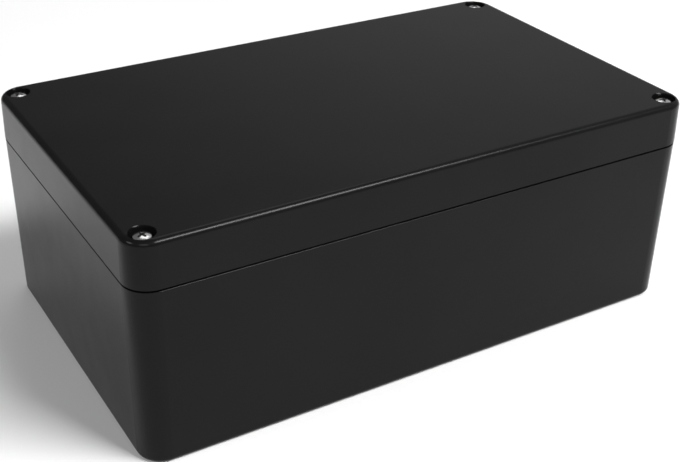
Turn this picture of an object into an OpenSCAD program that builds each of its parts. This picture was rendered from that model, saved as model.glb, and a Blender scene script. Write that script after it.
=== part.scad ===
// Sealed plastic project box: base and screw-down lid, with a gasket between them.
// Millimetres.  Z is up, X runs along the case, and the origin is the middle of the underside.

/* [Case] */
// Length over the lid's rim
case_l = 200; // [160:1:260]
// Width over the lid's rim
case_w = 120; // [95:1:170]
// Height of the base, from the underside to the parting line
base_h = 60; // [45:1:100]
// Height of the lid, from the parting line to its top
lid_h = 15; // [12:0.5:25]
// Radius of the upright corners, seen from above
corner_r = 8.5; // [7:0.1:11]
// Side wall at the rim
wall = 3; // [2.5:0.1:4]
// Floor of the base
floor_t = 3; // [2:0.1:5]
// Top plate of the lid
top_t = 3; // [2:0.1:4]

/* [Moulded form] */
// How far each side of the base leans in, from its rim to the underside
base_draft = 0.4; // [0.1:0.1:1]
// How far each side of the lid leans in, from its rim to the top
lid_draft = 0.3; // [0.1:0.1:0.8]
// How far each cavity wall of the base leans in, from the rim to the floor
cavity_draft = 0.4; // [0.1:0.1:0.8]
// How far each cavity wall of the lid leans in, from the rim to the ceiling
lid_cavity_draft = 0.15; // [0.05:0.05:0.3]
// Rounding of the lid's top edge
top_fillet = 2; // [0.5:0.1:2.5]
// Rounding of the base's bottom edge
bottom_fillet = 1.5; // [0.5:0.1:3]
// Rounding where the base's walls meet its floor
floor_fillet = 1.5; // [0.5:0.1:2]
// Rounding where the lid's walls meet its ceiling
ceiling_fillet = 1; // [0.3:0.1:1.2]

/* [Seam and seal] */
// How far the lid's rim stands out past the base's, all round
rim_step = 0.1; // [0:0.05:0.3]
// Height of the open line between the two rims
seam_gap = 0.65; // [0.2:0.05:0.8]
// Depth of that open line
seam_depth = 0.7; // [0.2:0.05:0.7]
// Bevel on both rims at the open line
rim_bevel = 0.05; // [0.05:0.05:0.4]
// Thickness of the sealing rib on the base's rim
rib_w = 1.4; // [1:0.1:1.7]
// Height of the sealing rib
rib_h = 1.8; // [1:0.1:3]
// Gap between the sealing rib and each side of the lid's groove
rib_clearance = 0.15; // [0.05:0.05:0.3]
// Thickness of the lid's inner lip, on the cavity side of the groove
lip_w = 1.4; // [1:0.1:1.7]
// Thickness of the gasket when the lid is down
gasket_t = 1.4; // [0.8:0.1:2.5]
// Gap between the gasket and each side of its groove
gasket_clearance = 0.02; // [0:0.01:0.1]

/* [Corner blocks] */
// Lid screws in from the end and side faces
screw_inset = 6.5; // [6:0.1:8]
// Wall-mounting holes in from the end faces
mount_inset_x = 18; // [16:0.5:26]
// Wall-mounting holes in from the side faces
mount_inset_y = 7; // [6.5:0.1:9]
// Wall-mounting hole through the floor
mount_hole_d = 4.4; // [3.5:0.1:5.5]
// Channel down to that hole, for the screw's head and the driver
channel_d = 8.4; // [7:0.1:10.2]
// Floor left under the channel
mount_floor_t = 4; // [3:0.1:6]
// Plastic between the channel and the cavity
channel_wall = 2.5; // [2:0.1:4]
// Rounding of the blocks' inner edges
block_r = 5; // [4:0.1:7]
// Rounding where the blocks meet the side walls
block_fillet = 3; // [2.9:0.1:3.8]
// Hollow in the lid above the channel
lid_hollow_d = 7; // [5:0.1:8]

/* [Lid screws] */
// Thread of the lid screws
thread_d = 2.9; // [2.4:0.1:3.5]
// Length of that thread
thread_l = 6.5; // [5:0.1:8]
// Waist between the head and the thread
waist_d = 2.3; // [1.8:0.1:2.8]
// Head of the lid screws
head_d = 5.4; // [5:0.1:7]
// Height of the head at its middle
head_h = 2.7; // [1.8:0.1:3]
// Radius of the head's domed top
head_dome_r = 7; // [4:0.1:8]
// How far the head's top lies below the lid's
head_sink = 0.6; // [0.4:0.1:2]
// Width across the cross recess
recess_span = 3.1; // [2.4:0.1:3.8]
// Width of each slot of the recess
recess_slot = 0.75; // [0.5:0.05:1]
// Depth of the recess
recess_depth = 1.7; // [1:0.1:2]
// Counterbore for the head
counterbore_d = 7.8; // [7:0.1:9.4]
// Bevel at the counterbore's mouth
mouth_bevel = 0.15; // [0.05:0.05:0.3]
// Web under the head that keeps the screw in the lid
web_t = 2; // [1.5:0.1:3]
// Gap between the waist and the web
web_clearance = 0.15; // [0.1:0.01:0.2]
// Gap between the thread and its room below the web
thread_room = 0.65; // [0.3:0.05:1]

/* [Inserts] */
// Brass insert across its knurls
insert_d = 4.6; // [4.2:0.1:5.6]
// Length of the insert
insert_l = 7; // [6.8:0.1:9]
// Depth of the groove round the insert's middle
insert_groove = 0.25; // [0.1:0.05:0.4]
// Gap between the screw's thread and the insert's
thread_clearance = 0.05; // [0.02:0.01:0.1]
// Gap between the insert and its pocket
pocket_clearance = 0.01; // [0:0.01:0.05]
// Cored hole under the insert
core_d = 3.6; // [3:0.1:4]
// Depth of that hole below the insert
core_depth = 24; // [10:1:30]

/* [Board bosses] */
// Boss diameter
boss_d = 7; // [5:0.1:9]
// Height of the base's bosses above its floor
boss_h = 6; // [3:0.1:12]
// Height of the lid's bosses below its ceiling
lid_boss_h = 5; // [2:0.1:8]
// Pilot hole in the bosses
pilot_d = 2.6; // [2:0.1:3.5]
// Depth of the pilot holes in the base
pilot_depth = 6.5; // [4:0.1:7]
// Depth of the pilot holes in the lid
lid_pilot_depth = 5.5; // [3:0.1:6]
// Rounding at the foot of a boss
boss_fillet = 1; // [0.5:0.1:1.5]
// Base bosses in from the end faces
boss_inset_x = 17.5; // [14:0.5:40]
// Base bosses in from the side faces
boss_inset_y = 20; // [19:0.5:30]
// Lid bosses in from the end faces
lid_boss_inset_x = 40; // [30:0.5:60]
// Lid bosses in from the side faces
lid_boss_inset_y = 25; // [22:0.5:35]

/* [Hidden] */
$fn = 96;
// A cut runs this far past the face that it opens
past = 1;

half_l = case_l / 2;
half_w = case_w / 2;
case_h = base_h + lid_h;
screw_x = half_l - screw_inset;
screw_y = half_w - screw_inset;
mount_x = half_l - mount_inset_x;
mount_y = half_w - mount_inset_y;

// The seal line follows the cavity's wall at the rim: along the sides and round the corner blocks
seal_x = half_l - wall;
seal_y = half_w - wall;
block_x = mount_x - channel_d / 2 - channel_wall;
block_y = mount_y - channel_d / 2 - channel_wall;

groove_h = rib_h + gasket_t;
lip_out = -rib_clearance - lip_w;
ceiling_z = case_h - top_t;
seat_z = case_h - head_sink - head_h;
thread_top_z = base_h;
tip_z = thread_top_z - thread_l;
plastic = "#232325";

// --- Shared tools ---

// Repeats its children in all four corners, from the one at +X +Y
module in_corners() {
    for (across = [0, 1], along = [0, 1])
        mirror([across, 0, 0]) mirror([0, along, 0]) children();
}

// Sweeps a flat profile round the case's rounded outline.  The profile's x is the distance out from
// the corner arcs' centres, and its y is the height.
module round_the_case() {
    side_x = half_l - corner_r;
    side_y = half_w - corner_r;
    in_corners() translate([side_x, side_y, 0]) rotate_extrude(angle = 90) children();
    for (flip = [0, 1]) {
        mirror([0, flip, 0]) translate([-side_x, side_y, 0])
            rotate([90, 0, 90]) linear_extrude(2 * side_x) children();
        mirror([flip, 0, 0]) translate([side_x, side_y, 0])
            rotate([90, 0, 0]) linear_extrude(2 * side_y) children();
    }
}

// A solid with the case's rounded outline and the given flank, from z = 0 to z = h
module case_solid(h) {
    round_the_case() children();
    translate([corner_r - half_l, corner_r - half_w, 0])
        cube([case_l - 2 * corner_r, case_w - 2 * corner_r, h]);
}

// Sweeps a flat profile once round the seal line.  The profile's x is the distance out from the
// cavity's wall, and its y is the height.
module round_the_seal() {
    turn_x = block_x - block_fillet;
    turn_y = block_y - block_fillet;
    for (flip = [0, 1]) {
        mirror([0, flip, 0]) translate([-turn_x, seal_y, 0])
            rotate([90, 0, 90]) linear_extrude(2 * turn_x) children();
        mirror([flip, 0, 0]) translate([seal_x, turn_y, 0])
            rotate([90, 0, 0]) linear_extrude(2 * turn_y) children();
    }
    in_corners() {
        translate([turn_x, seal_y - block_fillet, 0]) inward_turn() children();
        translate([block_x, seal_y - block_fillet, 0]) rotate([90, 0, 0])
            linear_extrude(seal_y - block_fillet - block_y - block_r) children();
        translate([block_x + block_r, block_y + block_r, 0]) rotate([0, 0, 180])
            rotate_extrude(angle = 90) translate([block_r, 0]) mirror([1, 0]) children();
        translate([block_x + block_r, block_y, 0]) rotate([90, 0, 90])
            linear_extrude(seal_x - block_fillet - block_x - block_r) children();
        translate([seal_x - block_fillet, turn_y, 0]) inward_turn() children();
    }
}

module inward_turn() {
    rotate_extrude(angle = 90) translate([block_fillet, 0]) children();
}

// What lies further inside the seal line than its tightest turn
module seal_core_outline() {
    turn_x = block_x - block_fillet;
    turn_y = block_y - block_fillet;
    square([2 * turn_x, 2 * (seal_y - block_fillet)], center = true);
    square([2 * (seal_x - block_fillet), 2 * turn_y], center = true);
    in_corners() difference() {
        translate([turn_x, turn_y]) square(block_fillet + block_r);
        translate([block_x + block_r, block_y + block_r]) circle(block_fillet + block_r);
    }
}

// The half-profile of a moulded box standing on z = 0: x from 0 to its flank, which is at `foot`
// below and at `head` at height h, with the foot's edge rounded
module flank(foot, head, h, fillet) {
    lean = atan2(head - foot, h);
    centre_x = foot + (head - foot) * fillet / h - fillet / cos(lean);
    tangent = [centre_x + fillet * cos(lean), fillet - fillet * sin(lean)];
    polygon([[0, 0], [centre_x, 0], [centre_x, fillet], tangent, [head, h], [0, h]]);
    intersection() {
        translate([centre_x, fillet]) circle(fillet);
        polygon([[centre_x, fillet], [centre_x, -past], [centre_x + 2 * fillet, -past], tangent]);
    }
}

// --- Base ---

module base_outside() {
    rim = corner_r - rim_step;
    case_solid(base_h) difference() {
        flank(rim - base_draft, rim, base_h, bottom_fillet);
        translate([rim - seam_depth, base_h - seam_gap]) square([seam_depth + past, seam_gap + past]);
        translate([rim, base_h - seam_gap]) rotate(45) square(rim_bevel * sqrt(2), center = true);
    }
}

module base_cavity() {
    h = base_h - floor_t;
    translate([0, 0, floor_t]) {
        round_the_seal() translate([-block_fillet, 0]) {
            flank(block_fillet - cavity_draft, block_fillet, h, floor_fillet);
            translate([0, h]) square([block_fillet, past]);
        }
        linear_extrude(h + past) seal_core_outline();
    }
}

module sealing_rib() {
    lead = rib_w / 5;
    translate([0, 0, base_h]) round_the_seal()
        polygon([[0, 0], [rib_w, 0], [rib_w - lead / 2, rib_h - lead], [rib_w - lead, rib_h],
            [lead, rib_h], [lead / 2, rib_h - lead]]);
}

// A boss standing on z = 0, with a rounded foot
module boss(h) {
    r = boss_d / 2;
    rotate_extrude() difference() {
        square([r + boss_fillet, h]);
        translate([r + boss_fillet, boss_fillet]) circle(boss_fillet);
        translate([r, boss_fillet]) square([boss_fillet + past, h]);
    }
}

module at_board_bosses() {
    for (x = [-1, 0, 1], y = [-1, 1])
        translate([x * (half_l - boss_inset_x), y * (half_w - boss_inset_y), floor_t]) children();
}

module base() {
    color(plastic) difference() {
        union() {
            difference() {
                base_outside();
                base_cavity();
            }
            sealing_rib();
            at_board_bosses() boss(boss_h);
        }
        at_board_bosses() translate([0, 0, boss_h - pilot_depth])
            cylinder(d = pilot_d, h = pilot_depth + past);
        in_corners() {
            translate([screw_x, screw_y, base_h - insert_l])
                cylinder(d = insert_d + 2 * pocket_clearance, h = insert_l + past);
            translate([screw_x, screw_y, base_h - insert_l - core_depth])
                cylinder(d = core_d, h = core_depth + past);
            translate([mount_x, mount_y, mount_floor_t])
                cylinder(d = channel_d, h = base_h);
            translate([mount_x, mount_y, -past])
                cylinder(d = mount_hole_d, h = mount_floor_t + 2 * past);
        }
    }
}

// --- Lid ---

// Stands on its top, to be turned over
module lid_outside() {
    case_solid(lid_h) difference() {
        flank(corner_r - lid_draft, corner_r, lid_h, top_fillet);
        translate([corner_r, lid_h]) rotate(45) square(rim_bevel * sqrt(2), center = true);
    }
}

module lid_cavity() {
    h = lid_h - top_t;
    rim = block_fillet + lip_out;
    translate([0, 0, top_t]) {
        round_the_seal() translate([-block_fillet, 0]) {
            flank(rim - lid_cavity_draft, rim, h, ceiling_fillet);
            translate([0, h]) square([rim, past]);
        }
        linear_extrude(h + past) seal_core_outline();
    }
}

module gasket_groove() {
    translate([0, 0, base_h - past]) round_the_seal()
        translate([-rib_clearance, 0]) square([rib_w + 2 * rib_clearance, groove_h + past]);
}

module at_lid_bosses() {
    for (x = [-1, 1], y = [-1, 1])
        translate([x * (half_l - lid_boss_inset_x), y * (half_w - lid_boss_inset_y), ceiling_z])
            mirror([0, 0, 1]) children();
}

// Counterbore, web hole and thread room for a lid screw
module screw_hole() {
    translate([screw_x, screw_y, seat_z])
        cylinder(d = counterbore_d, h = head_sink + head_h + past);
    translate([screw_x, screw_y, case_h - mouth_bevel])
        cylinder(d1 = counterbore_d, d2 = counterbore_d + 2 * (mouth_bevel + past), h = mouth_bevel + past);
    translate([screw_x, screw_y, seat_z - web_t - past])
        cylinder(d = waist_d + 2 * web_clearance, h = web_t + 2 * past);
    translate([screw_x, screw_y, base_h - past])
        cylinder(d = thread_d + 2 * thread_room, h = seat_z - web_t - base_h + past);
}

module lid() {
    color(plastic) difference() {
        union() {
            translate([0, 0, case_h]) mirror([0, 0, 1]) difference() {
                lid_outside();
                lid_cavity();
            }
            at_lid_bosses() boss(lid_boss_h);
        }
        gasket_groove();
        at_lid_bosses() translate([0, 0, lid_boss_h - lid_pilot_depth])
            cylinder(d = pilot_d, h = lid_pilot_depth + past);
        in_corners() {
            screw_hole();
            translate([mount_x, mount_y, base_h - past])
                cylinder(d = lid_hollow_d, h = ceiling_z - base_h + past);
        }
    }
}

// --- Gasket ---

module gasket() {
    side = gasket_clearance - rib_clearance;
    width = rib_w + 2 * rib_clearance - 2 * gasket_clearance;
    color("#3c3d40") translate([0, 0, base_h + rib_h])
        round_the_seal() translate([side, 0]) square([width, gasket_t]);
}

// --- Lid screws and inserts ---

// Cross-slotted recess that narrows to its bottom, cut down from z = 0
module cross_recess() {
    intersection() {
        translate([0, 0, -recess_depth])
            cylinder(d1 = recess_span / 2, d2 = recess_span, h = recess_depth);
        for (turn = [0, 90]) rotate([0, 0, turn])
            translate([-recess_span, -recess_slot / 2, -recess_depth])
                cube([2 * recess_span, recess_slot, recess_depth]);
    }
    translate([0, 0, -recess_depth])
        cylinder(d1 = recess_slot, d2 = 2 * recess_slot, h = recess_depth);
}

module lid_screw() {
    tip = (thread_d - waist_d) / 2;
    color("silver") difference() {
        rotate_extrude() {
            translate([0, seat_z]) intersection() {
                square([head_d / 2, head_h]);
                translate([0, head_h - head_dome_r]) circle(head_dome_r);
            }
            translate([0, thread_top_z]) square([waist_d / 2, seat_z - thread_top_z]);
            polygon([[0, tip_z], [waist_d / 2, tip_z], [thread_d / 2, tip_z + tip],
                [thread_d / 2, thread_top_z - tip], [waist_d / 2, thread_top_z], [0, thread_top_z]]);
        }
        translate([0, 0, seat_z + head_h]) cross_recess();
    }
}

module insert() {
    bore = thread_d + 2 * thread_clearance;
    color("#b5934a") translate([0, 0, base_h - insert_l]) difference() {
        cylinder(d = insert_d, h = insert_l);
        translate([0, 0, insert_l * 2 / 5]) difference() {
            cylinder(d = insert_d + past, h = insert_l / 5);
            cylinder(d = insert_d - 2 * insert_groove, h = insert_l / 5);
        }
        translate([0, 0, -past]) cylinder(d = bore, h = insert_l + 2 * past);
    }
}

base();
lid();
gasket();
translate([-screw_x, -screw_y, 0]) lid_screw();  // lid_screw_front_left
translate([screw_x, -screw_y, 0]) lid_screw();  // lid_screw_front_right
translate([-screw_x, screw_y, 0]) lid_screw();  // lid_screw_back_left
translate([screw_x, screw_y, 0]) lid_screw();  // lid_screw_back_right
translate([-screw_x, -screw_y, 0]) insert();  // insert_front_left
translate([screw_x, -screw_y, 0]) insert();  // insert_front_right
translate([-screw_x, screw_y, 0]) insert();  // insert_back_left
translate([screw_x, screw_y, 0]) insert();  // insert_back_right
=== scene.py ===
import math

import bmesh
import bpy
from bpy.props import FloatProperty, FloatVectorProperty, IntProperty, PointerProperty
from bpy.types import Operator, Panel, PropertyGroup
from mathutils import Matrix, Vector


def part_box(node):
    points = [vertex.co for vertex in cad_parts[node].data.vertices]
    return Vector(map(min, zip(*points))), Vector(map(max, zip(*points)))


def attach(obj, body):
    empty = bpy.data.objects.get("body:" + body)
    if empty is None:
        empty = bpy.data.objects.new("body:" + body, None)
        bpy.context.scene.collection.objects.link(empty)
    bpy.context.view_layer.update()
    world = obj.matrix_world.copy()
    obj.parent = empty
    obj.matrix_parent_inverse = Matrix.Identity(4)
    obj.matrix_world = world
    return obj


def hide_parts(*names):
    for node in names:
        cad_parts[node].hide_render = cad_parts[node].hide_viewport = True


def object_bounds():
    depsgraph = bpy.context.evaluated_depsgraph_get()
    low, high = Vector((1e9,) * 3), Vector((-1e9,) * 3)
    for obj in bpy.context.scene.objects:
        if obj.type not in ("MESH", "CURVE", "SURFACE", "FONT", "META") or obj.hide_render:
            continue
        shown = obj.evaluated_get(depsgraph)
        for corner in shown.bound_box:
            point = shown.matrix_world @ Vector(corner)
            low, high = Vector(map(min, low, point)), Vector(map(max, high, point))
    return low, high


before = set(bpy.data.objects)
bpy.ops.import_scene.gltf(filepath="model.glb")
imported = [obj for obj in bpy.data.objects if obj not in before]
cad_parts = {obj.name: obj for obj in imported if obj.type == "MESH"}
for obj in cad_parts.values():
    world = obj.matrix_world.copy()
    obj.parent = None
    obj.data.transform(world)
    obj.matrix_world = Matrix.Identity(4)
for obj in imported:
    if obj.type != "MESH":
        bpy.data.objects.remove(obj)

bl_info = {
    "name": "Sealed project box",
    "version": (1, 0, 0),
    "blender": (4, 5, 0),
    "location": "3D View > Sidebar > Project Box",
    "description": "Finishes a sealed plastic project box: housing, gasket, screws and inserts",
    "category": "Object",
}

MM = 0.001
THREAD_PITCH = 0.5 * MM
PAINTED_SHADE_SLOT = 1  # place of the recess's painted shade among a screw's materials
ON_AXIS = 1e-9  # a smaller radius than this is a point on the axis
CORNERS = ("front_left", "front_right", "back_left", "back_right")
# How far each screw is turned once it is tight, in degrees
TIGHTENED_TO = {"front_left": 24, "front_right": 71, "back_left": 52, "back_right": 8}

cad_low, cad_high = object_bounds()
screw_low, screw_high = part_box("lid_screw_front_left")
insert_low, insert_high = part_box("insert_front_left")


# --- Sizes and colours -------------------------------------------------------

class HousingFinish(PropertyGroup):
    """Moulded base and lid."""

    colour: FloatVectorProperty(
        name="Plastic", description="Colour of the moulded plastic",
        subtype="COLOR", size=3, min=0, max=1, default=(0.0065, 0.0065, 0.0068))
    roughness: FloatProperty(
        name="Sheen roughness", description="Mean roughness of the satin surface",
        subtype="FACTOR", min=0, max=1, default=0.22)
    gloss_level: FloatProperty(
        name="Gloss level", description="Strength of the plastic's surface reflection",
        subtype="FACTOR", min=0, max=1, default=0.11)
    grain: FloatProperty(
        name="Grain size", description="Width of one pit of the mould's eroded grain",
        unit="LENGTH", min=0.05 * MM, max=2 * MM, default=0.28 * MM)
    grain_depth: FloatProperty(
        name="Grain depth", description="Depth of that grain",
        unit="LENGTH", min=0, max=0.05 * MM, default=0.0035 * MM)


class GasketFinish(PropertyGroup):
    """Gasket in the lid's groove."""

    colour: FloatVectorProperty(
        name="Rubber", description="Colour of the gasket's rubber",
        subtype="COLOR", size=3, min=0, max=1, default=(0.045, 0.045, 0.048))
    edge_round: FloatProperty(
        name="Edge rounding", description="Radius of the gasket's long edges",
        unit="LENGTH", min=0, max=0.6 * MM, default=0.3 * MM)


class ScrewSizes(PropertyGroup):
    """Lid screws."""

    head_d: FloatProperty(
        name="Head", description="Diameter of the head",
        unit="LENGTH", default=screw_high.x - screw_low.x)
    sink: FloatProperty(
        name="Sink", description="How far the head's top lies below the lid's",
        unit="LENGTH", default=0.6 * MM)
    head_h: FloatProperty(
        name="Head height", description="Height of the head at its middle",
        unit="LENGTH", default=2.7 * MM)
    dome_r: FloatProperty(
        name="Dome radius", description="Radius of the head's domed top",
        unit="LENGTH", default=7 * MM)
    rim_round: FloatProperty(
        name="Rim rounding", description="Rounding between the dome and the head's side",
        unit="LENGTH", default=0.28 * MM)
    waist_d: FloatProperty(
        name="Waist", description="Diameter of the plain waist",
        unit="LENGTH", default=2.3 * MM)
    thread_d: FloatProperty(
        name="Thread", description="Outside diameter of the thread",
        unit="LENGTH", default=2.9 * MM)
    thread_l: FloatProperty(
        name="Thread length", description="Length of the threaded end",
        unit="LENGTH", default=6.5 * MM)
    pitch: FloatProperty(
        name="Pitch", description="Rise of the thread in one turn",
        unit="LENGTH", default=THREAD_PITCH)
    recess_span: FloatProperty(
        name="Recess span", description="Width across the cross recess",
        unit="LENGTH", default=3.3 * MM)
    recess_slot: FloatProperty(
        name="Recess slot", description="Width of each slot of the recess",
        unit="LENGTH", default=0.8 * MM)
    recess_depth: FloatProperty(
        name="Recess depth", description="Depth of the recess",
        unit="LENGTH", default=1.7 * MM)
    colour: FloatVectorProperty(
        name="Plating", description="Colour of the plated steel",
        subtype="COLOR", size=3, min=0, max=1, default=(0.80, 0.80, 0.79))
    roughness: FloatProperty(
        name="Plating roughness", description="Mean roughness of the plating",
        subtype="FACTOR", min=0, max=1, default=0.17)


class InsertSizes(PropertyGroup):
    """Brass inserts in the base's corner blocks."""

    body_d: FloatProperty(
        name="Insert", description="Diameter across the knurls",
        unit="LENGTH", default=insert_high.x - insert_low.x)
    bore_d: FloatProperty(
        name="Bore", description="Diameter at the thread's crests",
        unit="LENGTH", default=3.0 * MM)
    thread_depth: FloatProperty(
        name="Thread depth", description="Depth of the thread in the bore",
        unit="LENGTH", default=0.2 * MM)
    knurls: IntProperty(
        name="Knurls", description="Number of knurls round the insert",
        min=12, max=60, default=28)
    knurl_depth: FloatProperty(
        name="Knurl depth", description="Depth of the knurls",
        unit="LENGTH", default=0.14 * MM)
    groove_depth: FloatProperty(
        name="Middle groove", description="Depth of the groove between the knurled bands",
        unit="LENGTH", default=0.25 * MM)
    colour: FloatVectorProperty(
        name="Brass", description="Colour of the brass",
        subtype="COLOR", size=3, min=0, max=1, default=(0.80, 0.60, 0.27))


class StudioSet(PropertyGroup):
    """Floor, lamps and camera."""

    floor_colour: FloatVectorProperty(
        name="Floor", description="Colour of the studio floor",
        subtype="COLOR", size=3, min=0, max=1, default=(0.97, 0.97, 0.97))
    floor_size: FloatProperty(
        name="Floor size", description="Side of the square floor",
        unit="LENGTH", default=12)
    key_power: FloatProperty(
        name="Key", description="Power of the soft lamp that lights the lid's front edge",
        unit="POWER", default=57)
    side_power: FloatProperty(
        name="Side", description="Power of the small soft lamp on the left",
        unit="POWER", default=9)
    fill_power: FloatProperty(
        name="Fill", description="Power of the large soft lamp at the front left",
        unit="POWER", default=11)
    back_power: FloatProperty(
        name="Back", description="Power of the soft lamp high at the back, seen in the screw heads",
        unit="POWER", default=5)
    room_dim: FloatVectorProperty(
        name="Dim side", description="Light of the room from the left and the front",
        subtype="COLOR", size=3, min=0, max=1, default=(0.13, 0.13, 0.13))
    room_bright: FloatVectorProperty(
        name="Bright side", description="Light of the room from the right",
        subtype="COLOR", size=3, min=0, max=1, default=(0.42, 0.42, 0.42))


# --- Mesh tools --------------------------------------------------------------

def as_mesh(name, verts, faces):
    """A new mesh of plain vertices and faces."""
    mesh = bpy.data.meshes.new(name)
    mesh.from_pydata(verts, [], faces)
    mesh.update()
    return mesh


def around(ring):
    """Points of a ring of (radius, height) pairs, spread evenly round Z."""
    points = []
    for i, (radius, height) in enumerate(ring):
        a = 2 * math.pi * i / len(ring)
        points.append((radius * math.cos(a), radius * math.sin(a), height))
    return points


def turned(profile, sides):
    """Vertices and faces of a profile [(radius, height), ...] turned round Z, bottom to top."""
    verts, faces, rings = [], [], []
    for radius, height in profile:
        if radius < ON_AXIS:
            rings.append([len(verts)])
            verts.append((0, 0, height))
            continue
        rings.append(list(range(len(verts), len(verts) + sides)))
        verts += around([(radius, height)] * sides)
    for low, high in zip(rings, rings[1:]):
        for i in range(sides):
            j = (i + 1) % sides
            if len(low) == 1:
                faces.append((low[0], high[j], high[i]))
            elif len(high) == 1:
                faces.append((low[i], low[j], high[0]))
            else:
                faces.append((low[i], low[j], high[j], high[i]))
    return verts, faces


def closed_sleeve(rings):
    """Vertices and faces of equal rings, each joined to the next and the last to the first."""
    sides = len(rings[0])
    verts = [point for ring in rings for point in around(ring)]
    faces = []
    for k in range(len(rings)):
        n = (k + 1) % len(rings)
        for i in range(sides):
            j = (i + 1) % sides
            faces.append((k * sides + i, k * sides + j, n * sides + j, n * sides + i))
    return verts, faces


def thread_ridge(root_r, crest_r, low, high, pitch, steps=36):
    """One helical ridge between two radii; it fades into the root at both ends."""
    turns = (high - low) / pitch - 1
    count = int(turns * steps)
    sink = (root_r - crest_r) * 0.15
    half_foot, half_crest = pitch * 0.44, pitch * 0.07
    fade_steps = 0.6 * steps
    verts, faces = [], []
    for n in range(count + 1):
        a = 2 * math.pi * n / steps
        middle = low + pitch * (0.5 + n / steps)
        fade = min(1, n / fade_steps, (count - n) / fade_steps)
        crest = root_r + (crest_r - root_r) * fade
        for radius, dz in ((root_r + sink, -half_foot), (crest, -half_crest),
                           (crest, half_crest), (root_r + sink, half_foot)):
            verts.append((radius * math.cos(a), radius * math.sin(a), middle + dz))
    for n in range(count):
        a, b = 4 * n, 4 * n + 4
        for k in range(4):
            m = (k + 1) % 4
            faces.append((a + k, b + k, b + m, a + m))
    faces.append((3, 2, 1, 0))
    faces.append(tuple(range(4 * count, 4 * count + 4)))
    return verts, faces


def joined(name, parts):
    """One mesh of several (vertices, faces) parts, with every face turned outwards."""
    verts, faces = [], []
    for part_verts, part_faces in parts:
        start = len(verts)
        verts += part_verts
        faces += [tuple(i + start for i in face) for face in part_faces]
    mesh = as_mesh(name, verts, faces)
    bm = bmesh.new()
    bm.from_mesh(mesh)
    bmesh.ops.recalc_face_normals(bm, faces=bm.faces)
    bm.to_mesh(mesh)
    bm.free()
    return mesh


def smooth(mesh, angle):
    """Smooth shading, with edges sharper than `angle` degrees kept crisp."""
    mesh.shade_smooth()
    mesh.set_sharp_from_angle(angle=math.radians(angle))


def new_piece(name, mesh, body, slot, *nodes):
    """Links a piece that stands for the given nodes and moves with their body."""
    piece = bpy.data.objects.new(name, mesh)
    bpy.context.scene.collection.objects.link(piece)
    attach(piece, body)
    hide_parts(*nodes)
    return piece


def modified(mesh, name, add_modifiers):
    """The mesh that the given modifiers leave."""
    work = bpy.data.objects.new(name, mesh)
    bpy.context.scene.collection.objects.link(work)
    add_modifiers(work)
    depsgraph = bpy.context.evaluated_depsgraph_get()
    result = bpy.data.meshes.new_from_object(work.evaluated_get(depsgraph))
    bpy.data.objects.remove(work)
    result.name = name
    return result


# --- Material tools ----------------------------------------------------------

class Finish:
    """A node material under construction, with the object's own coordinates at hand."""

    def __init__(self, name):
        self.material = bpy.data.materials.new(name)
        self.material.use_nodes = True
        self.nodes = self.material.node_tree.nodes
        self.links = self.material.node_tree.links
        self.shader = self.nodes["Principled BSDF"]
        self.place = self.nodes.new("ShaderNodeTexCoord").outputs["Object"]

    def noise(self, size, detail=2.0, roughness=0.5, stretch=None):
        """Noise whose features are about `size` metres wide."""
        node = self.nodes.new("ShaderNodeTexNoise")
        node.inputs["Scale"].default_value = 1 / size
        node.inputs["Detail"].default_value = detail
        node.inputs["Roughness"].default_value = roughness
        source = self.place
        if stretch:
            mapping = self.nodes.new("ShaderNodeMapping")
            mapping.inputs["Scale"].default_value = stretch
            self.links.new(source, mapping.inputs["Vector"])
            source = mapping.outputs["Vector"]
        self.links.new(source, node.inputs["Vector"])
        return node.outputs["Fac"]

    def cells(self, size):
        """Distance from the middle of cells about `size` metres wide."""
        node = self.nodes.new("ShaderNodeTexVoronoi")
        node.inputs["Scale"].default_value = 1 / size
        self.links.new(self.place, node.inputs["Vector"])
        return node.outputs["Distance"]

    def ranged(self, value, low, high):
        """The middle of a noise's range, spread over `low` to `high`."""
        node = self.nodes.new("ShaderNodeMapRange")
        for socket, number in (("From Min", 0.3), ("From Max", 0.7),
                               ("To Min", low), ("To Max", high)):
            node.inputs[socket].default_value = number
        self.links.new(value, node.inputs["Value"])
        return node.outputs["Result"]

    def blend(self, value, first, second):
        node = self.nodes.new("ShaderNodeMix")
        node.data_type = "RGBA"
        node.inputs["A"].default_value = (*first, 1)
        node.inputs["B"].default_value = (*second, 1)
        self.links.new(value, node.inputs["Factor"])
        return node.outputs["Result"]

    def bump(self, height, depth, under=None):
        """Relief `depth` metres deep, on top of the relief `under`."""
        node = self.nodes.new("ShaderNodeBump")
        node.inputs["Strength"].default_value = 1.0
        node.inputs["Distance"].default_value = depth
        self.links.new(height, node.inputs["Height"])
        if under is not None:
            self.links.new(under, node.inputs["Normal"])
        return node.outputs["Normal"]

    def set(self, **sockets):
        """Sets the shader's sockets, named with _ for a space, to a value or a node's output."""
        for name, value in sockets.items():
            socket = self.shader.inputs[name.replace("_", " ")]
            if hasattr(value, "is_linked"):
                self.links.new(value, socket)
            else:
                socket.default_value = value

    def into(self, mesh):
        """Gives the whole mesh this material."""
        mesh.materials.clear()
        mesh.materials.append(self.material)


def toned(colour, factor):
    """The colour, darker or lighter by the factor."""
    return tuple(channel * factor for channel in colour)


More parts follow.
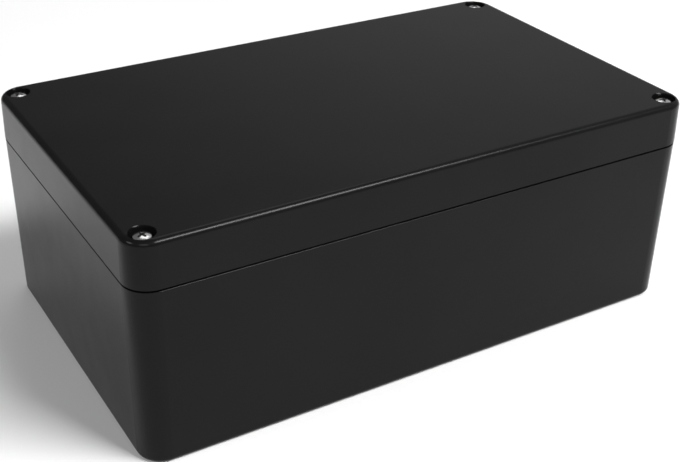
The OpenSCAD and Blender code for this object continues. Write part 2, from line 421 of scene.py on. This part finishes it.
def case_plastic():
    """Satin moulded plastic: eroded grain, slight flow mottling and a little sink waviness."""
    look = bpy.context.scene.project_box.housing
    finish = Finish("satin_case_plastic")
    colour = tuple(look.colour)
    mottle = finish.ranged(finish.noise(38 * MM, 3, 0.55), 0, 1)
    pits = finish.noise(look.grain, 3, 0.6)
    flow = finish.noise(11 * MM, 4, 0.6)
    waviness = finish.bump(finish.noise(26 * MM, 1), 0.02 * MM)
    finish.set(
        Base_Color=finish.blend(mottle, toned(colour, 0.9), toned(colour, 1.12)),
        Roughness=finish.ranged(flow, look.roughness - 0.02, look.roughness + 0.03),
        Specular_IOR_Level=look.gloss_level,
        Normal=finish.bump(pits, look.grain_depth, under=waviness))
    return finish


def gasket_rubber():
    """Matt closed-cell rubber with fine pores and a faint bloom."""
    look = bpy.context.scene.project_box.gasket
    finish = Finish("gasket_rubber")
    colour = tuple(look.colour)
    bloom = finish.ranged(finish.noise(3 * MM, 4), 0, 1)
    unevenness = finish.bump(finish.noise(0.9 * MM, 3), 0.04 * MM)
    finish.set(
        Base_Color=finish.blend(bloom, toned(colour, 0.8), toned(colour, 1.3)),
        Roughness=finish.ranged(finish.noise(1.2 * MM, 3), 0.72, 0.88),
        Specular_IOR_Level=0.3,
        Normal=finish.bump(finish.cells(0.35 * MM), 0.05 * MM, under=unevenness))
    return finish


def screw_steel():
    """Bright plated steel with slight ripple from the heading die."""
    look = bpy.context.scene.project_box.screws
    finish = Finish("plated_screw_steel")
    colour = tuple(look.colour)
    clouding = finish.ranged(finish.noise(0.8 * MM, 4, 0.6), 0, 1)
    scuffs = finish.noise(0.35 * MM, 4, 0.6)
    finish.set(
        Base_Color=finish.blend(clouding, toned(colour, 0.86), colour),
        Metallic=1,
        Roughness=finish.ranged(scuffs, look.roughness - 0.05, look.roughness + 0.1),
        Normal=finish.bump(finish.noise(0.5 * MM, 3), 0.006 * MM))
    return finish


def recess_painted_shade():
    """Painted shade inside the cross recess: duller plating, painted dark grey to stand in for the
    shade that falls there.
    """
    finish = Finish("screw_recess_painted_shade")
    clouding = finish.ranged(finish.noise(0.4 * MM, 3), 0, 1)
    finish.set(
        # painted shade: the recess's plating is painted dark grey where shade falls in it
        Base_Color=finish.blend(clouding, (0.10, 0.10, 0.10), (0.22, 0.22, 0.215)),
        Metallic=1,
        Roughness=finish.ranged(finish.noise(0.3 * MM, 3), 0.35, 0.5),
        Normal=finish.bump(finish.noise(0.25 * MM, 3), 0.008 * MM))
    return finish


def insert_brass():
    """Turned brass with fine lathe rings and slight tarnish."""
    look = bpy.context.scene.project_box.inserts
    finish = Finish("turned_insert_brass")
    colour = tuple(look.colour)
    tarnished = (colour[0] * 0.72, colour[1] * 0.64, colour[2] * 0.55)
    tarnish = finish.ranged(finish.noise(1.1 * MM, 4, 0.6), 0, 1)
    lathe_rings = finish.noise(0.12 * MM, 2, 0.5, stretch=(0.15, 0.15, 1))
    finish.set(
        Base_Color=finish.blend(tarnish, tarnished, colour),
        Metallic=1,
        Roughness=finish.ranged(finish.noise(0.6 * MM, 3), 0.22, 0.4),
        Normal=finish.bump(lathe_rings, 0.008 * MM))
    return finish


# --- Pieces ------------------------------------------------------------------

class FinishHousing(Operator):
    """Give the base and the lid their satin moulded plastic"""

    bl_idname = "project_box.finish_housing"
    bl_label = "Finish Base and Lid"

    def execute(self, context):
        plastic = case_plastic()
        for node in ("base", "lid"):
            plastic.into(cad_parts[node].data)
        return {"FINISHED"}


class FinishGasket(Operator):
    """Round the gasket's edges and give it its rubber"""

    bl_idname = "project_box.finish_gasket"
    bl_label = "Finish Gasket"

    def execute(self, context):
        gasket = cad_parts["gasket"]
        gasket_rubber().into(gasket.data)
        rounding = gasket.modifiers.new("Edge rounding", "BEVEL")
        rounding.width = context.scene.project_box.gasket.edge_round
        rounding.segments = 3
        rounding.limit_method = "ANGLE"
        rounding.angle_limit = math.radians(60)
        rounding.use_clamp_overlap = False
        return {"FINISHED"}


def cross_recess_tool(sizes, top):
    """Cutter for the cross recess: four tapering wings round a cone, ending above the head."""
    deep, above, point = sizes.recess_depth, 0.4 * MM, 0.25 * MM
    tip_low, tip_high = sizes.recess_span * 0.24, sizes.recess_span / 2
    rise = (tip_high - tip_low) / deep
    tip_high += rise * above
    half_low, half_high = sizes.recess_slot * 0.36, sizes.recess_slot * 0.52
    core_low, core_high = half_low * 1.25, half_high * 1.7
    bottom, upper = top - deep, top + above
    rings = []
    for height, tip, half, core in ((bottom, tip_low, half_low, core_low),
                                    (upper, tip_high, half_high, core_high)):
        shoulder, flat = tip - half * 0.5, half * 0.45
        wing = ((core, -half), (shoulder, -half), (tip, -flat),
                (tip, flat), (shoulder, half), (core, half))
        ring = []
        for quarter in range(4):
            turn = Matrix.Rotation(quarter * math.pi / 2, 3, "Z")
            ring += [tuple(turn @ Vector((x, y, height))) for x, y in wing]
        rings.append(ring)
    count = len(rings[0])
    verts = rings[0] + rings[1] + [(0, 0, bottom - point), (0, 0, upper)]
    faces = []
    for i in range(count):
        j = (i + 1) % count
        faces.append((i, j, count + j, count + i))
        faces.append((2 * count, j, i))
        faces.append((2 * count + 1, count + i, count + j))
    return joined("cross_recess_tool", [(verts, faces)])


def screw_head(sizes, seat):
    """Domed head on z = seat, rounded between side and dome, with the cross recess cut in."""
    r, dome, blend = sizes.head_d / 2, sizes.dome_r, sizes.rim_round
    top = seat + sizes.head_h
    centre = top - dome
    # Rounding of radius `blend` that touches the side and the dome
    round_r = r - blend
    round_z = centre + math.sqrt((dome - blend) ** 2 - round_r ** 2)
    reach = math.atan2(round_z - centre, round_r)
    under = 0.12 * MM
    round_steps, dome_steps = 6, 14
    profile = [(0, seat), (r - under, seat), (r, seat + under)]
    for k in range(round_steps + 1):
        a = reach * k / round_steps
        profile.append((round_r + blend * math.cos(a), round_z + blend * math.sin(a)))
    for k in range(1, dome_steps):
        a = reach + (math.pi / 2 - reach) * k / dome_steps
        profile.append((dome * math.cos(a), centre + dome * math.sin(a)))
    profile.append((0, top))
    blank = joined("screw_head_blank", [turned(profile, sides=96)])
    cutter = bpy.data.objects.new("cross_recess_tool", cross_recess_tool(sizes, top))
    bpy.context.scene.collection.objects.link(cutter)

    def cut_recess(work):
        cut = work.modifiers.new("Recess", "BOOLEAN")
        cut.operation = "DIFFERENCE"
        cut.solver = "EXACT"
        cut.object = cutter

    head = modified(blank, "screw_head", cut_recess)
    bpy.data.objects.remove(cutter)
    if len(head.vertices) in (0, len(blank.vertices)):
        raise RuntimeError("the cross recess wasn't cut")
    return head


def lid_screw_mesh(sizes):
    """Whole screw on its own axis, at the height where it stands when tight."""
    tip, seat = screw_low.z, cad_high.z - sizes.sink - sizes.head_h
    thread_r, waist_r = sizes.thread_d / 2, sizes.waist_d / 2
    root_r = thread_r - 0.29 * MM
    thread_top = tip + sizes.thread_l
    tip_bevel, neck_r, into_head = 0.3 * MM, waist_r + 0.1 * MM, 0.2 * MM
    shank = [(0, tip), (root_r - tip_bevel, tip), (root_r, tip + tip_bevel), (root_r, thread_top),
             (waist_r, thread_top + 0.1 * MM), (waist_r, seat - 0.15 * MM),
             (neck_r, seat), (neck_r, seat + into_head), (0, seat + into_head)]
    head = screw_head(sizes, seat)
    head_part = ([tuple(v.co) for v in head.vertices], [tuple(p.vertices) for p in head.polygons])
    mesh = joined("lid_screw", [
        head_part,
        turned(shank, sides=48),
        thread_ridge(root_r, thread_r, tip + 0.15 * MM, thread_top, sizes.pitch)])
    smooth(mesh, angle=32)
    # Faces of the recess, which take the painted shade, lie inside the dome's sphere, near the axis
    # and above the shank
    dome_centre = Vector((0, 0, seat + sizes.head_h - sizes.dome_r))
    recess_reach, shank_end = sizes.recess_span * 0.56, seat + 0.3 * MM
    for face in mesh.polygons:
        middle = face.center
        inside = (middle - dome_centre).length < sizes.dome_r - 0.04 * MM
        if inside and middle.z > shank_end and middle.xy.length < recess_reach:
            face.material_index = PAINTED_SHADE_SLOT
    return mesh


class MakeLidScrews(Operator):
    """Make the four plated lid screws, with cross recess, waist and thread"""

    bl_idname = "project_box.make_lid_screws"
    bl_label = "Make Lid Screws"

    def execute(self, context):
        mesh = lid_screw_mesh(context.scene.project_box.screws)
        mesh.materials.append(screw_steel().material)
        # second slot: the painted shade inside the cross recess
        mesh.materials.append(recess_painted_shade().material)
        for corner in CORNERS:
            node = "lid_screw_" + corner
            low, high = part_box(node)
            piece = new_piece("cross_head_screw_" + corner, mesh, "screw_" + corner,
                              "screw_steel", node)
            piece.location = ((low.x + high.x) / 2, (low.y + high.y) / 2, 0)
            piece.rotation_euler.z = math.radians(TIGHTENED_TO[corner])
        return {"FINISHED"}


def insert_mesh(sizes, height):
    """Knurled insert on z = 0: two bands of slanted knurls, a plain groove and a threaded bore."""
    crest, root = sizes.body_d / 2, sizes.body_d / 2 - sizes.knurl_depth
    chamfer, step = 0.25 * MM, 0.05 * MM
    slant, band_steps = 0.55, 8
    sides = sizes.knurls * 4
    groove_low, groove_high = height * 0.42, height * 0.58
    rings = []

    def plain(radius, z):
        rings.append([(radius, z)] * sides)

    def knurled(low, high, turns_per_mm):
        for k in range(band_steps + 1):
            z = low + (high - low) * k / band_steps
            ring = []
            for i in range(sides):
                phase = (i / 4 + turns_per_mm * (z - low) / MM) % 1
                lift = min(1, 2.6 * min(phase, 1 - phase))
                ring.append((root + (crest - root) * lift, z))
            rings.append(ring)

    bore = sizes.bore_d / 2 + sizes.thread_depth
    plain(bore + chamfer, 0)
    plain(root - chamfer, 0)
    plain(root, chamfer)
    knurled(chamfer + step, groove_low, slant)
    plain(crest - sizes.groove_depth, groove_low + step)
    plain(crest - sizes.groove_depth, groove_high - step)
    knurled(groove_high, height - chamfer - step, -slant)
    plain(root, height - chamfer)
    plain(root - chamfer * 0.6, height)
    plain(bore + chamfer, height)
    plain(bore, height - chamfer)
    plain(bore, chamfer)
    mesh = joined("threaded_insert", [
        closed_sleeve(rings),
        thread_ridge(bore, sizes.bore_d / 2, 0.3 * MM, height - 0.2 * MM, THREAD_PITCH)])
    smooth(mesh, angle=28)
    return mesh


class MakeInserts(Operator):
    """Make the four knurled brass inserts that take the lid screws"""

    bl_idname = "project_box.make_inserts"
    bl_label = "Make Brass Inserts"

    def execute(self, context):
        mesh = insert_mesh(context.scene.project_box.inserts, insert_high.z - insert_low.z)
        insert_brass().into(mesh)
        for corner in CORNERS:
            node = "insert_" + corner
            low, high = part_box(node)
            piece = new_piece("knurled_insert_" + corner, mesh, "case", "insert_brass", node)
            piece.location = ((low.x + high.x) / 2, (low.y + high.y) / 2, low.z)
        return {"FINISHED"}


# --- Stage -------------------------------------------------------------------

def soft_lamp(name, place, size, power, target):
    """Rectangular lamp of the given size that faces the target."""
    lamp = bpy.data.lights.new(name, "AREA")
    lamp.shape = "RECTANGLE"
    lamp.size, lamp.size_y = size
    lamp.energy = power
    piece = bpy.data.objects.new(name, lamp)
    bpy.context.scene.collection.objects.link(piece)
    piece.location = place
    piece.rotation_euler = (Vector(target) - Vector(place)).to_track_quat("-Z", "Y").to_euler()


def camera(place, yaw, pitch, roll, lens):
    """Camera at `place`; yaw turns right from +Y and pitch turns up, in radians; lens in mm."""
    data = bpy.data.cameras.new("camera")
    data.sensor_width, data.lens, data.clip_start = 36, lens, 0.01
    piece = bpy.data.objects.new("camera", data)
    bpy.context.scene.collection.objects.link(piece)
    ahead = Vector((math.sin(yaw) * math.cos(pitch), math.cos(yaw) * math.cos(pitch),
                    math.sin(pitch)))
    level = Vector((math.cos(yaw), -math.sin(yaw), 0))
    up = level.cross(ahead)
    right = level * math.cos(roll) + up * math.sin(roll)
    top = up * math.cos(roll) - level * math.sin(roll)
    pose = Matrix((right, top, -ahead)).transposed().to_4x4()
    pose.translation = place
    piece.matrix_world = pose
    bpy.context.scene.camera = piece


def room_light(dim, bright):
    """World that brightens softly from its dim left to its bright right."""
    world = bpy.data.worlds.new("studio_room")
    world.use_nodes = True
    nodes, links = world.node_tree.nodes, world.node_tree.links
    parts = nodes.new("ShaderNodeSeparateXYZ")
    links.new(nodes.new("ShaderNodeTexCoord").outputs["Generated"], parts.inputs["Vector"])
    rise = nodes.new("ShaderNodeMapRange")
    rise.interpolation_type = "SMOOTHSTEP"
    rise.inputs["From Min"].default_value = 0.12  # a little right of the far left
    rise.inputs["From Max"].default_value = 0.62  # a little right of the middle
    links.new(parts.outputs["X"], rise.inputs["Value"])
    mix = nodes.new("ShaderNodeMix")
    mix.data_type = "RGBA"
    mix.inputs["A"].default_value = (*dim, 1)
    mix.inputs["B"].default_value = (*bright, 1)
    links.new(rise.outputs["Result"], mix.inputs["Factor"])
    links.new(mix.outputs["Result"], nodes["Background"].inputs["Color"])
    return world


class SetStage(Operator):
    """Lay the pale floor, hang the soft lamps and place the camera"""

    bl_idname = "project_box.set_stage"
    bl_label = "Set Stage"

    def execute(self, context):
        studio = context.scene.project_box.studio
        half = studio.floor_size / 2
        corners = [(-half, -half, 0), (half, -half, 0), (half, half, 0), (-half, half, 0)]
        mesh = as_mesh("studio_floor", corners, [(0, 1, 2, 3)])
        floor = bpy.data.objects.new("studio_floor", mesh)
        context.scene.collection.objects.link(floor)
        floor.location.z = cad_low.z - 0.1 * MM
        paint = Finish("studio_floor_paint")
        colour = tuple(studio.floor_colour)
        paint.set(
            Base_Color=paint.blend(paint.noise(0.4, 2), toned(colour, 0.99), colour),
            Roughness=1.0,
            Specular_IOR_Level=0)
        paint.into(mesh)

        middle = (0, 0, (cad_low.z + cad_high.z) / 2)
        for name, place, size, power in (
                ("key_lamp", (0.86, -1.2, 2.0), (1.04, 0.6), studio.key_power),
                ("side_lamp", (-1.95, 0.1, 1.3), (0.6, 0.2), studio.side_power),
                ("fill_lamp", (-1.1, -1.6, 1.5), (1.2, 1.0), studio.fill_power),
                ("back_lamp", (0.84, 1.52, 2.24), (1.1, 1.1), studio.back_power)):
            soft_lamp(name, place, size, power, middle)

        context.scene.world = room_light(tuple(studio.room_dim), tuple(studio.room_bright))
        context.scene.view_settings.view_transform = "Standard"
        camera(place=(-0.1892, -0.3148, 0.2325), yaw=0.541, pitch=-0.519, roll=0.017, lens=63.0)
        return {"FINISHED"}


# --- Add-on ------------------------------------------------------------------

class ProjectBox(PropertyGroup):
    """All settings of the project box."""

    housing: PointerProperty(type=HousingFinish)
    gasket: PointerProperty(type=GasketFinish)
    screws: PointerProperty(type=ScrewSizes)
    inserts: PointerProperty(type=InsertSizes)
    studio: PointerProperty(type=StudioSet)


STEPS = (FinishHousing, FinishGasket, MakeLidScrews, MakeInserts, SetStage)


class ProjectBoxPanel(Panel):
    """Settings and steps of the project box"""

    bl_idname = "VIEW3D_PT_project_box"
    bl_label = "Project Box"
    bl_space_type = "VIEW_3D"
    bl_region_type = "UI"
    bl_category = "Project Box"

    def draw(self, context):
        settings = context.scene.project_box
        groups = (settings.housing, settings.gasket, settings.screws, settings.inserts,
                  settings.studio)
        for group, step in zip(groups, STEPS):
            box = self.layout.box()
            for name in group.__annotations__:
                box.prop(group, name)
            box.operator(step.bl_idname)


CLASSES = (HousingFinish, GasketFinish, ScrewSizes, InsertSizes, StudioSet, ProjectBox,
           *STEPS, ProjectBoxPanel)


def register():
    for cls in CLASSES:
        bpy.utils.register_class(cls)
    bpy.types.Scene.project_box = PointerProperty(type=ProjectBox)


def unregister():
    del bpy.types.Scene.project_box
    for cls in reversed(CLASSES):
        bpy.utils.unregister_class(cls)


def main():
    register()
    for step in (bpy.ops.project_box.finish_housing, bpy.ops.project_box.finish_gasket,
                 bpy.ops.project_box.make_lid_screws, bpy.ops.project_box.make_inserts,
                 bpy.ops.project_box.set_stage):
        if step() != {"FINISHED"}:
            raise RuntimeError(f"{step.idname()} didn't finish")


if __name__ == "__main__":
    main()
